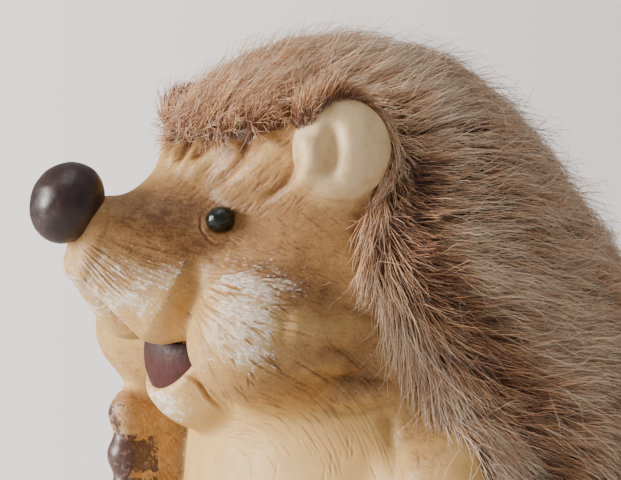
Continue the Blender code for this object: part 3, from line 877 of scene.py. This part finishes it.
def skin_paint():
    """Cream resin with a brown wash in its grooves and hollows and a white dry-brush over its ridges.
    Painted shade darkens the neck, under the chin, the raised hand and under the mouth's roof;
    painted light pales the ear.
    """
    m = Paint("painted_resin")
    broad, mid, fine = m.noise(90, 3), m.noise(420, 3, 0.6), m.noise(2400, 2)
    base = m.mix(m.span(broad, 0.35, 0.65), CREAM, CREAM_WARM)
    # painted light: paler cream over the ear and the raised hand
    base = m.mix(m.times(m.read("painted_light"), m.span(mid, 0.35, 0.7, 0.65, 0.4)), base, CREAM_PALE)

    streaks, lines = [], []
    for name in ("muzzle", "cheek"):
        turn, along = m.read(name + "_turn"), m.read(name + "_along")
        for found, way, detail, roughness, distortion in (
            (streaks, (3.2, 0.9), 3, 0.7, 0.3),
            (lines, (2.2, 0.22), 2, 0.6, 0.4),
        ):
            flow = m.node("CombineXYZ", {0: m.times(turn, way[0]), 1: m.times(along, way[1])}).outputs[0]
            found.append(m.noise(1.0, detail, roughness, flow, distortion))
    side = m.read("cheek_side")
    streak, line = (
        m.node("Mix", {0: side, 2: muzzle, 3: cheek}, data_type="FLOAT").outputs[0]
        for muzzle, cheek in (streaks, lines)
    )
    scratch = m.span(m.calc("ABSOLUTE", m.less(line, 0.5)), 0.0, 0.035, 1, 0)
    # the brown wash, with painted shade in the neck, under the chin and over the raised hand
    wash_and_shade = m.read("wash_and_shade")
    amount = m.plus(wash_and_shade, m.times(scratch, m.span(wash_and_shade, 0.05, 0.4, 0.05, 0.17)))
    amount = m.times(amount, m.span(mid, 0.25, 0.75, 0.8, 1.16))
    amount = m.times(amount, m.span(fine, 0.3, 0.7, 0.86, 1.1))
    base = m.mix(m.span(mid, 0.5, 0.8, 0, 0.25), base, OCHRE)
    base = m.mix(m.span(amount, 0.0, 0.62), base, OCHRE)
    base = m.mix(m.span(amount, 0.45, 1.15), base, BROWN)

    speck = m.plus(m.times(streak, 0.64), m.times(m.noise(2600, 3, 0.75), 0.36))
    white = m.times(m.read("white"), m.span(m.noise(260, 3, 0.6), 0.32, 0.62, 0.5, 1.08))
    over = m.less(speck, m.span(white, 0, 1, 0.60, 0.475))
    cover = m.times(m.span(over, 0, 0.035), m.span(white, 0.02, 0.3))
    base = m.mix(m.times(m.span(white, 0.25, 1), 0.26), base, DRY_WHITE)
    base = m.mix(m.times(cover, 0.68), base, DRY_WHITE)

    ragged = m.plus(m.read("dark"), m.span(m.noise(700, 4, 0.75), 0.3, 0.7, -1.3, 1.3))
    claws = m.span(ragged, -0.1, 0.2)
    claw = m.mix(m.span(m.noise(900, 4, 0.75), 0.5, 0.72), CLAW, CLAW_WORN)
    base = m.mix(m.times(claws, 0.94), base, claw)
    red = m.mix(m.span(mid, 0.35, 0.7), MOUTH_RED, (0.055, 0.02, 0.018))
    # painted shade under the mouth's roof
    red = m.mix(m.read("mouth_roof_shade"), red, MOUTH_SHADE_BLACK)
    base = m.mix(m.span(m.read("mouth"), 0.35, 0.6), base, red)
    base = m.mix(m.read("cloth"), base, CLOTH)
    rough = m.plus(m.span(fine, 0.3, 0.7, 0.42, 0.58), m.times(cover, 0.25))
    m.set(Base_Color=base, Roughness=m.less(rough, m.times(claws, 0.16)), IOR=1.46)
    height = m.plus(m.times(fine, 0.3), m.times(cover, 0.7))
    m.bump(m.plus(height, m.times(mid, 0.5)), 0.5, 0.00014)
    return m.material


def nose_paint():
    m = Paint("nose_gloss")
    worn = m.span(m.noise(500, 4, 0.65), 0.6, 0.72)
    base = m.mix(m.span(m.noise(260, 3), 0.35, 0.7), (0.015, 0.005, 0.005), (0.03, 0.011, 0.0105))
    base = m.mix(m.times(worn, 0.5), base, (0.13, 0.065, 0.05))
    m.set(Base_Color=base, Roughness=m.span(m.noise(700, 3), 0.3, 0.7, 0.3, 0.5), IOR=1.5)
    m.bump(m.noise(420, 3, 0.6), 0.35, 0.0003)
    return m.material


def eye_paint():
    m = Paint("eye_bead")
    base = m.mix(m.span(m.noise(900, 2), 0.4, 0.7), (0.003, 0.004, 0.0035), (0.014, 0.019, 0.016))
    m.set(Base_Color=base, Roughness=m.span(m.noise(1500, 2), 0.3, 0.7, 0.1, 0.26), IOR=1.45)
    m.bump(m.noise(1700, 3), 0.6, 0.00016)
    return m.material


def mouth_paint():
    m = Paint("mouth_floor")
    base = m.mix(m.span(m.noise(420, 3), 0.35, 0.7), MOUTH_RED, (0.045, 0.012, 0.01))
    # painted shade under the mouth's roof
    base = m.mix(m.times(m.read("mouth_roof_shade"), 0.7), base, MOUTH_SHADE_BLACK)
    m.set(Base_Color=base, Roughness=m.span(m.noise(1500, 2), 0.3, 0.7, 0.5, 0.68), Specular_IOR_Level=0.3)
    m.bump(m.noise(1800, 2), 0.5, 0.00015)
    return m.material


def floor_paint():
    m = Paint("pale_floor")
    base = m.mix(m.span(m.noise(6, 2), 0.3, 0.7), (0.72, 0.70, 0.68), (0.76, 0.74, 0.72))
    m.set(Base_Color=base, Roughness=0.9)
    return m.material


def pile_paint():
    """Root to tip: dark under-fur, brown middle, pale tip, with some strands wholly paler or darker;
    painted shade darkens whole strands by zone, and lightens them as painted light where it falls below zero.
    """
    m = Paint("pile")
    along, tone, rust, painted_shade, pale = (m.read(name) for name in ("along", "tone", "rust", "painted_shade", "pale"))
    root = m.mix(rust, (0.085, 0.03, 0.012), (0.21, 0.065, 0.017))
    middle = m.mix(rust, (0.61, 0.355, 0.19), (0.64, 0.29, 0.10))
    middle = m.mix(m.times(pale, 0.55), middle, (0.86, 0.58, 0.37))
    tip = m.mix(rust, (0.95, 0.74, 0.53), (0.95, 0.70, 0.44))
    tip = m.mix(m.times(pale, 0.7), tip, (0.98, 0.87, 0.71))
    shade = m.plus(along, m.span(tone, 0, 1, -0.34, 0.28))
    # painted shade darkens whole strands; below zero it lightens them as painted light
    shade = m.less(shade, m.times(painted_shade, 0.68))
    base = m.mix(m.span(shade, 0.0, 0.42), root, middle)
    base = m.mix(m.span(shade, 0.44, 1.0), base, tip)
    base = m.mix(m.span(m.noise(700, 2), 0.3, 0.75, 0, 0.35), base, m.mix(0.4, base, (0.3, 0.16, 0.09)))
    m.set(Base_Color=base, Roughness=m.span(tone, 0, 1, 0.5, 0.66))
    m.set(Sheen_Weight=0.25, Sheen_Roughness=0.5, Specular_IOR_Level=0.35)
    return m.material


# ---- the pile

STRANDS = 80000
CLUMP = 26  # strands that lean together
STEPS = (0.0, 0.36, 0.72, 1.0)  # where along a strand its three rings and its tip are
TAPER = (1.0, 0.86, 0.55)  # how thick its rings are
PATCH = 0.003  # how much of the map each strand takes
PIECE_STRANDS = 12000  # at most, so that a piece stays under 200,000 triangles
PARTED = 134, 142  # the heights between which the parting behind the pelt's edge ends
BEHIND_EAR = (30, -19, 134)  # the dark nook behind the left ear


def near_ear(p):
    """(the way outwards from the ear's middle, how far from it)."""
    away = p - np.array(EAR_AT) * np.stack([np.where(p[:, 0] >= 0, 1, -1), *np.ones((2, len(p)))], axis=1)
    return away, length(away)


def at_brow(up_edge):
    """1 where the pelt's edge crosses the brow."""
    return ramp(up_edge, 0.80, 0.86)


class Draws:
    """Random numbers, one for each strand."""

    def __init__(self, seed):
        self.rng = np.random.default_rng(seed)

    def between(self, low, high):
        return self.rng.uniform(low, high, STRANDS)

    def spread(self, width):
        return self.rng.normal(0, width, STRANDS)

    def chance(self, share):
        return self.between(0, 1) < share


def pile_roots(mesh, p, n, behind, draws):
    """Random points of the skin under the pelt, closer together at its edge, and their normals."""
    mesh.calc_loop_triangles()
    tri = np.empty(len(mesh.loop_triangles) * 3, np.int32)
    mesh.loop_triangles.foreach_get("vertices", tri)
    tri = tri.reshape(-1, 3)
    tri = tri[(behind[tri].min(axis=1) > 0.15) & (p[tri][:, :, 2].min(axis=1) > 1.2)]
    a, b, c = p[tri[:, 0]], p[tri[:, 1]], p[tri[:, 2]]
    middle = (a + b + c) / 3
    z = middle[:, 2]
    weight = length(np.cross(b - a, c - a)) * (0.5 + ramp(z, 55, 100))
    weight *= 1 + (0.8 + 0.9 * (1 - ramp(z, 96, 110))) * np.exp(-behind[tri].mean(axis=1) / 5)
    weight *= 1 + 0.8 * at_brow(from_edge(middle)[1]) * ramp(-middle[:, 1], 22, 30)
    total = np.cumsum(weight)
    pick = tri[np.searchsorted(total, draws.between(0, total[-1]))]
    u, v = draws.rng.uniform(size=(2, STRANDS))
    over = u + v > 1
    u, v = np.where(over, 1 - u, u), np.where(over, 1 - v, v)
    shares = np.stack([1 - u - v, u, v], axis=1)[:, :, None]
    return (p[pick] * shares).sum(axis=1), unit((n[pick] * shares).sum(axis=1))


def curtain_width(z):
    """How far behind the pelt's edge the pile still hangs along it."""
    return np.interp(z, [80, 112, 126, 136], [9.5, 6.5, 4.4, 3.6])


def pile_flow(p, n, behind, up_edge, jitter):
    """The way the pile leans, along the skin. jitter is in degrees."""
    z, brow = p[:, 2], at_brow(up_edge)
    down = np.interp(z, [15, 60, 92, 112, 132, 150], [64, 50, 32, 12, -2, -8])
    hang = np.interp(z, [60, 96, 112, 118, 124, 130, 138, 144], [76, 74, 76, 84, 106, 116, 110, 60])
    down += (hang - down) * np.exp(-((behind / curtain_width(z)) ** 4)) * (1 - brow)
    sweep = np.interp(up_edge, [0.84, 0.92, 1.0], [-16, -34, -52])
    down += (sweep - down) * np.exp(-behind / 10) * brow
    jitter = jitter * (1 + 2.2 * brow * np.exp(-behind / 9))
    down = np.radians(down + 11 * waves(p, 34, 21, 2) + jitter)
    flow = np.stack([np.where(p[:, 0] >= 0, 0.1, -0.1), np.cos(down), -np.sin(down)], axis=1)
    away, far = near_ear(p)
    share = peak(np.maximum(far - 9, 0), 6.5) * 0.85 * ramp(behind, 1.5, 6) * (1 - 0.8 * brow)
    flow += (unit(away) - flow) * share[:, None]
    return unit(along_skin(flow, n))


def along_skin(way, out):
    return way - (way * out).sum(axis=1)[:, None] * out


def pile_map(root):
    """Each root's place on a flat map of the pelt: how far round it is from the middle of the back."""
    axis, across = unit(np.array([0, 1.0, 0.3])), np.array([1.0, 0, 0])
    way = unit(root - (0, 0, 75))
    turn = np.arccos(np.clip(way @ axis, -1, 1))
    flat = np.stack([way @ across, way @ np.cross(axis, across)], axis=1)
    return flat * (turn / (length(flat) + 1e-9))[:, None]


def clumped(root):
    """The strand that each one leans towards."""
    clumps = STRANDS // CLUMP
    tree = KDTree(clumps)
    for i in range(clumps):
        tree.insert(root[i], i)
    tree.balance()
    return np.array([tree.find(q)[1] for q in root])


def pile_zones(root, behind, up_edge):
    """How much of each zone of the pile a strand belongs to."""
    z, share, brow = root[:, 2], behind / curtain_width(root[:, 2]), at_brow(up_edge)
    curtain = np.exp(-((share / 0.75) ** 4)) * (1 - brow) * (1 - ramp(z, 118, 128))
    parting = peak(share - 1.2, 0.38) * (1 - ramp(z, *PARTED))
    fan = peak(share - 2.7, 0.9) * ramp(z, 108, 118) * (1 - brow)
    mirrored = np.where([True, False, False], np.abs(root), root)
    nook = peak(length((mirrored - BEHIND_EAR) / (14, 6, 6)), 1)
    return brow, curtain, parting, fan, nook


def pile_tints(draws, root, behind, zones, lead):
    """What the pile's paint reads for each strand."""
    z, (brow, curtain, parting, fan, nook) = root[:, 2], zones
    tone = np.clip(0.5 + draws.spread(0.16) + draws.spread(0.12)[lead], 0, 1)
    tone = np.where(draws.chance(0.2), draws.between(0.8, 1), tone)
    tone += 0.16 * waves(root, 26, 5, 2)
    rust = 1.2 * brow * peak(behind, 6) * (0.8 + 0.3 * waves(root, 12, 7, 2))
    rust += (0.45 * np.exp(-behind / 6) + 0.5 * parting) * (1 - brow) + 0.2
    # painted shade: whole strands darker in the nook behind the ear, the parting and at the brow's edge,
    # partly the dark roots that show there; below zero, over the curtain and the fan, painted light
    painted_shade = 0.6 * nook + (1 - 0.3 * ramp(z, 120, 130)) * parting
    painted_shade += 0.6 * brow * np.exp(-behind / 2) - 0.2 * curtain - 0.36 * fan
    pale = 0.75 * curtain + 0.05 + 0.3 * ramp(z, 118, 145) + 0.8 * brow * ramp(behind, 3, 9)
    pale += draws.chance(0.22)
    tints = {"rust": np.clip(rust, 0, 1), "painted_shade": np.clip(painted_shade, -0.5, 1), "pale": np.clip(pale, 0, 1)}
    return {"tone": tone, **tints}


def pile_paths(mesh, p, n, behind_skin, draws):
    """Root, rings and tip of every strand, and what its paint reads."""
    root, out = pile_roots(mesh, p, n, behind_skin, draws)
    behind, up_edge = from_edge(root)
    lead = clumped(root)
    stray = draws.chance(0.13)
    stray[: STRANDS // CLUMP] = False
    jitter = draws.spread(11)[lead] + draws.spread(9) + stray * draws.spread(28)
    flow = pile_flow(root, out, behind, up_edge, jitter)

    # how far a strand runs along the skin
    zones = pile_zones(root, behind, up_edge)
    brow, _, parting, fan, nook = zones
    run = 15.5 + 2.5 * ramp(behind, 4, 16) - 3.5 * brow * (1 - ramp(behind, 3, 14))
    run -= 4 * peak(np.maximum(near_ear(root)[1] - 9, 0), 5)
    run *= 1 - 0.45 * brow * (1 - ramp(behind, 0.4, 3)) - 0.42 * (1 - brow) * np.exp(-behind / 3.5)
    run *= (1 - 0.45 * nook) * (1 - 0.3 * fan) * (1 - 0.3 * parting)
    wisp = (up_edge > 0.9) & (behind < 1.8) & draws.chance(0.3)
    run = np.where(wisp, 5, run)
    run *= draws.between(0.84, 1.12)[lead] * draws.between(0.72, 1.12)
    ahead = root + flow * run[:, None] * 0.85
    ahead -= out * SCULPTED.field(ahead)[:, None]
    forward = np.stack([draws.spread(0.2), np.full(STRANDS, -0.75), draws.spread(0.7) - 0.55], axis=1)
    flow = np.where(wisp[:, None], unit(along_skin(forward, out)), flow)

    # how it stands off the skin: under the pelt's outer form, and nearly upright over the brow
    stand = 0.6 * brow * (1 - ramp(behind, 6, 16)) * np.where(wisp, 0.6, 1)
    upright = 0.85 * stand[:, None]
    lift = unit(out * (1 - upright) + np.array([[0, 0.12, 1.0]]) * upright)
    thick = np.clip(np.maximum(-pelt_field(root), 7.0 * stand), 1.6, 11)
    thick_tip = np.clip(np.maximum(-pelt_field(ahead), 8.0 * stand), 1.2, 11)
    high = draws.between(0.55, 1.0) * draws.between(0.85, 1.08)[lead]
    high = np.where(stray, draws.between(0.7, 1.35), high)

    path = np.empty((STRANDS, len(STEPS), 3))
    for i, t in enumerate(STEPS):
        level = (thick * (1 - t) + thick_tip * t) * high
        rise = level * (1 - (1 - t) ** (1.9 + 0.9 * stand))
        reach = np.sqrt(np.maximum(run**2 - (thick_tip * high) ** 2, 9)) * (0.25 * t + 0.75 * t**1.35)
        q = root + flow * reach[:, None]
        path[:, i] = q + (lift * (rise - SCULPTED.field(q))[:, None] if t else -0.3 * out)
    hold = np.where(stray, 0, draws.between(0.1, 0.6)) * (1 - 0.5 * brow * (1 - ramp(behind, 8, 16)))
    for i, t in enumerate(STEPS):
        path[:, i] += (path[lead, i] - path[:, i]) * (hold * t**1.4)[:, None]
    bow = draws.rng.normal(0, 0.45, (STRANDS, 3)) * (1 + 1.2 * stray[:, None])
    path[:, 1] += bow * 0.6
    path[:, 2] += bow
    path[:, 1:, 2] = np.maximum(path[:, 1:, 2], 0.4)

    tints = pile_tints(draws, root, behind, zones, lead)
    thickness = 0.082 + 0.03 * (1 - ramp(root[:, 2], 60, 100))
    thickness *= np.where(stray, 0.7, 1) * draws.between(0.75, 1.15)
    return root, path, thickness, tints


def strand_faces():
    """The faces of one strand: each corner as (its point, its turn round the strand, how far along)."""
    for ring in range(2):
        low, high = 3 * ring, 3 * ring + 3
        for j in range(3):
            k = (j + 1) % 3
            yield (
                (low + j, j, STEPS[ring]),
                (low + k, j + 1, STEPS[ring]),
                (high + k, j + 1, STEPS[ring + 1]),
                (high + j, j, STEPS[ring + 1]),
            )
    for j in range(3):
        yield (6 + j, j, STEPS[2]), (6 + (j + 1) % 3, j + 1, STEPS[2]), (9, j + 0.5, 1)
    yield (2, 2, 0), (1, 1, 0), (0, 0, 0)


def pile_mesh(name, root, path, thickness, tints, rng):
    """One closed three-sided spike for each strand."""
    count = len(root)
    way = unit(path[:, 3] - path[:, 0])
    e1 = unit(np.cross(way, rng.normal(size=way.shape)))
    e2 = np.cross(way, e1)
    points = np.empty((count, 10, 3))
    for ring, taper in enumerate(TAPER):
        for corner in range(3):
            a = 2 * math.pi * corner / 3
            offset = (math.cos(a) * e1 + math.sin(a) * e2) * (thickness * taper)[:, None]
            points[:, ring * 3 + corner] = path[:, ring] + offset
    points[:, 9] = path[:, 3]

    faces = list(strand_faces())
    corners, turns, shares = np.array([corner for face in faces for corner in face]).T
    sizes = np.tile([len(face) for face in faces], count)
    loops = (np.arange(count)[:, None] * 10 + corners).ravel()
    mesh = bpy.data.meshes.new(name)
    mesh.vertices.add(count * 10)
    mesh.vertices.foreach_set("co", points.astype(np.float32).ravel())
    mesh.loops.add(len(loops))
    mesh.loops.foreach_set("vertex_index", loops.astype(np.int32))
    mesh.polygons.add(len(sizes))
    mesh.polygons.foreach_set("loop_start", np.concatenate([[0], np.cumsum(sizes)[:-1]]).astype(np.int32))

    place = pile_map(root)
    low, high = place.min(axis=0), place.max(axis=0)
    place = (place - low) / (high - low) * (0.99 - PATCH) + 0.005
    uv = place[:, None] + PATCH * np.stack([turns / 3, shares], axis=1)
    mesh.uv_layers.new(name="OFBake").data.foreach_set("uv", uv.astype(np.float32).ravel())
    mesh.update(calc_edges=True)
    attribute(mesh, "along", np.tile(np.repeat(STEPS, (3, 3, 3, 1)), count))
    for key, value in tints.items():
        attribute(mesh, key, np.repeat(value, 10))
    return mesh


def make_pile(mesh, p, n, behind):
    draws = Draws(2024)
    root, path, thickness, tints = pile_paths(mesh, p, n, behind, draws)
    material = pile_paint()
    crown = root[:, 2] > 112 - np.tan(math.radians(12)) * root[:, 1]
    left, right = root[:, 0] > 24, root[:, 0] < -24
    regions = {
        "crown": crown,
        "flank_left": left & ~crown,
        "flank_right": right & ~crown,
        "back": ~crown & ~left & ~right,
    }
    for word, mask in regions.items():
        members = np.flatnonzero(mask)
        members = members[np.argsort(root[members, 2])]
        for i, chosen in enumerate(np.array_split(members, math.ceil(len(members) / PIECE_STRANDS))):
            name = f"pile_{word}_{i + 1}"
            some = {key: value[chosen] for key, value in tints.items()}
            made = pile_mesh(name, root[chosen], path[chosen], thickness[chosen], some, draws.rng)
            piece(name, made, material, "fur", "fur_" + word)


# ---- making the figure


def make_skin():
    mesh = skin_mesh()
    p, n = points_of(mesh), points_of(mesh, "normal")
    height, groove = relief(p, n)
    behind = from_edge(p)[0]
    height *= 1 - ramp(behind, 0.5, 1.5)
    height *= 1 - ramp(-MOUTH.field(p), -0.6, -0.1) * (p[:, 1] < -34) * (p[:, 2] < MOUTH_ROOF + 1)
    height *= ramp(np.minimum(lid_field(p, 1), lid_field(p, -1)), 0.1, 0.7)
    height += 0.9 * ramp(behind, 0.2, 1.4)
    height *= ramp(p[:, 2], 0.3, 1.2)
    paint(mesh, p, n, height, groove)
    make_pile(mesh, p, n, behind)
    set_points(mesh, p + n * height[:, None])
    pairs = [f"{word}_{side}" for word in ("ear", "arm", "hand", "leg", "foot") for side in ("left", "right")]
    piece("figure_skin", mesh, skin_paint(), "resin", "head", "jaw", "neck", "trunk", *pairs)


def ball_mesh(ball, subdivisions, uneven, seed):
    """A ball with a slightly uneven surface."""
    lump = bmesh.new()
    bmesh.ops.create_icosphere(lump, subdivisions=subdivisions, radius=1)
    mesh = from_lump("ball", lump)
    p = (points_of(mesh) * ball.radii) @ np.array(ball.matrix).T + ball.centre
    out = unit(p - ball.centre)
    set_points(mesh, p + out * (uneven * waves(p, 7.0, seed))[:, None])
    return mesh


def tongue_mesh():
    """The mouth's floor, set a little into its wall and roof."""
    mesh = with_modifier(balls(Grown(MOUTH, 0.35), 48, 24), "REMESH", mode="VOXEL", voxel_size=0.35)
    y, z = LIP_FRONT
    mesh = without(mesh, slab((-30, -40, z), (30, 40, z + 60), LIP_ANGLE, (0, y + MOUTH_DEPTH, z)))
    mesh = without(mesh, slab((-30, -80, MOUTH_ROOF + 0.3), (30, 0, 140)))
    # painted shade under the mouth's roof
    attribute(mesh, "mouth_roof_shade", ramp(points_of(mesh)[:, 2], 106.6, 109.0))
    return mesh


make_skin()
piece("nose_ball", ball_mesh(NOSE, 6, 0.09, 3), nose_paint(), "nose", "nose")
for side, word in ((1, "left"), (-1, "right")):
    radii = np.array((0.97, 1.07, 0.88)) * EYE_RADIUS
    bead = Ball((EYE_AT - (0.1, 0, 0)) * (side, 1, 1), radii, ("X", 25))
    piece(f"eye_bead_{word}", ball_mesh(bead, 5, 0.05, 5), eye_paint(), "eye", f"eye_{word}")
piece("mouth_floor", tongue_mesh(), mouth_paint(), "mouth", "tongue")

# ---- floor, light and camera


def view_back(azimuth, elevation):
    a, e = math.radians(azimuth), math.radians(elevation)
    return Vector((math.sin(a) * math.cos(e), -math.cos(a) * math.cos(e), math.sin(e)))


def turned_back(name, data, place, back):
    """A lamp or camera at a place, turned so that back is the way behind it."""
    made = linked(name, data)
    made.location = place
    made.rotation_euler = back.to_track_quat("Z", "Y").to_euler()
    return made


def area_light(name, azimuth, elevation, distance, size, power, colour):
    data = bpy.data.lights.new(name, "AREA")
    data.shape, data.size, data.energy, data.color = "DISK", size, power, colour
    back = view_back(azimuth, elevation)
    turned_back(name, data, Vector((0, 0, LIT_HEIGHT)) + back * distance, back)


CAMERA_AZIMUTH, CAMERA_ELEVATION, CAMERA_DISTANCE = 64, 2, 0.450
FRAME_WIDTH = 0.1035  # what the picture spans at the figure's middle
VIEW_MIDDLE = (-0.01992, 0.125)  # the picture's middle: how far across from the figure's axis, and how high
LIT_HEIGHT = 0.1  # of the point that the lamps face
WALL_LEFT, WALL_RIGHT = (1.80, 1.66, 1.57), (1.22, 1.12, 1.06)  # the backdrop's light
FLOOR_RADIUS = 0.6


def studio():
    lump = bmesh.new()
    bmesh.ops.create_circle(lump, cap_ends=True, segments=96, radius=FLOOR_RADIUS)
    mesh = from_lump("floor", lump)
    mesh.materials.append(floor_paint())
    floor = linked("floor", mesh)

    world = bpy.data.worlds.new("studio")
    bpy.context.scene.world = world
    world.use_nodes = True
    m = Nodes(world.node_tree)
    light = m.tree.nodes["Background"]
    m.put(light.inputs[0], (0.70, 0.68, 0.67, 1))
    m.put(light.inputs[1], 0.63)
    # the backdrop is seen by the camera alone, and is paler on one side
    way = m.node("TexCoord").outputs["Generated"]
    across = m.node("VectorMath", {0: way, 1: view_back(CAMERA_AZIMUTH + 90, 0)}, operation="DOT_PRODUCT")
    share = m.node("MapRange", {0: across.outputs["Value"], 1: -0.11, 2: 0.11}).outputs[0]
    wall = m.node("Background", {0: m.mix(share, WALL_LEFT, WALL_RIGHT)})
    seen = m.node("LightPath").outputs["Is Camera Ray"]
    either = m.node("MixShader", {0: seen, 1: light.outputs[0], 2: wall.outputs[0]})
    m.put(m.tree.nodes["World Output"].inputs["Surface"], either.outputs[0])
    area_light("window", -13, 14, 0.9, 0.5, 19, (1, 0.96, 0.91))
    area_light("fill", 40, 78, 1.2, 0.8, 3.5, (0.98, 0.98, 1))


def camera():
    data = bpy.data.cameras.new("camera")
    data.sensor_width = 36
    data.lens = data.sensor_width / FRAME_WIDTH * CAMERA_DISTANCE
    data.clip_start = 0.02
    across, height = VIEW_MIDDLE
    target = view_back(CAMERA_AZIMUTH + 90, 0) * across + Vector((0, SHIFT_Y * MM, height))
    back = view_back(CAMERA_AZIMUTH, CAMERA_ELEVATION)
    bpy.context.scene.camera = turned_back("camera", data, target + back * CAMERA_DISTANCE, back)


studio()
camera()
